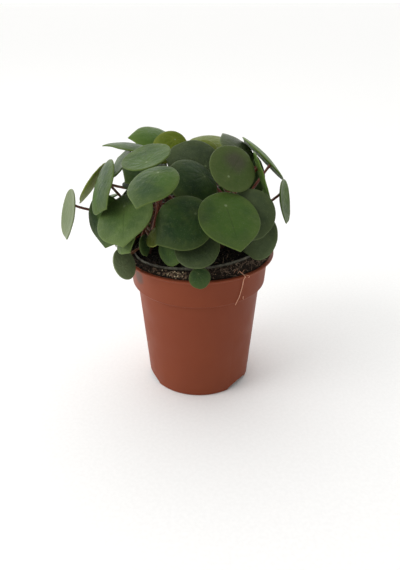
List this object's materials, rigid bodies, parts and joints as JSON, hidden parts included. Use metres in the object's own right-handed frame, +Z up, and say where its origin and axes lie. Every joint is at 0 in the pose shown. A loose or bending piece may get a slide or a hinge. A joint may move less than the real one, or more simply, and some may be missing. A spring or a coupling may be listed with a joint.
{
  "type": "potted peperomia plant",
  "caption": "Bushy house plant with thick shield-shaped leaves on red-brown stalks, standing in a tapered plastic nursery pot filled with soil.",
  "frame": {"origin": "middle of the pot's flat underside", "axes": "+Z up along the pot, -Y towards the viewer of the picture, +X to the right in it"},
  "size_m": [0.1774, 0.18, 0.2062],
  "materials": {
    "pot_plastic": "moulded terracotta-coloured plastic, semi-matte, with a few soil smudges",
    "potting_soil": "dark peat and bark crumbs with pale grains and fibres, fully rough",
    "ring_plastic": "thin grey-olive strip, dusty",
    "stem": "red-brown living stalk, smooth with a soft sheen",
    "leaf": "thick dark green blade, satin and slightly glossy, paler edge and petiole spot",
    "olive_leaf": "thick olive-green blade, satin",
    "young_leaf": "young yellow-green blade, satin"
  },
  "bodies": {
    "root": {"pot": "pot_plastic", "soil": "potting_soil", "plant_ring": "ring_plastic", "stem_1": "stem", "stem_2": "stem", "stem_3": "stem", "stem_4": "stem", "leaf_01": "leaf", "leaf_02": "leaf", "leaf_03": "leaf", "leaf_04": "leaf", "leaf_05": "leaf", "leaf_06": "leaf", "leaf_07": "leaf", "leaf_08": "leaf", "leaf_09": "olive_leaf", "leaf_10": "leaf", "leaf_11": "leaf", "leaf_12": "leaf", "leaf_13": "leaf", "leaf_14": "leaf", "leaf_15": "olive_leaf", "leaf_16": "leaf", "leaf_17": "leaf", "leaf_18": "leaf", "leaf_19": "leaf", "leaf_20": "leaf", "leaf_21": "leaf", "leaf_22": "leaf", "leaf_23": "leaf", "leaf_24": "leaf", "leaf_25": "leaf", "leaf_26": "leaf", "leaf_27": "leaf", "leaf_28": "leaf", "leaf_29": "leaf", "leaf_30": "leaf", "leaf_31": "leaf", "leaf_32": "leaf", "leaf_33": "young_leaf", "leaf_34": "leaf", "leaf_35": "leaf", "leaf_36": "leaf", "leaf_37": "leaf", "leaf_38": "leaf", "leaf_39": "leaf", "leaf_40": "leaf", "leaf_41": "young_leaf", "leaf_42": "young_leaf", "leaf_43": "young_leaf", "leaf_44": "leaf", "leaf_45": "leaf", "leaf_46": "leaf", "leaf_47": "leaf", "leaf_48": "leaf", "leaf_49": "leaf", "leaf_50": "leaf", "leaf_51": "leaf", "leaf_52": "leaf", "leaf_53": "leaf"}
  },
  "joints": []
}
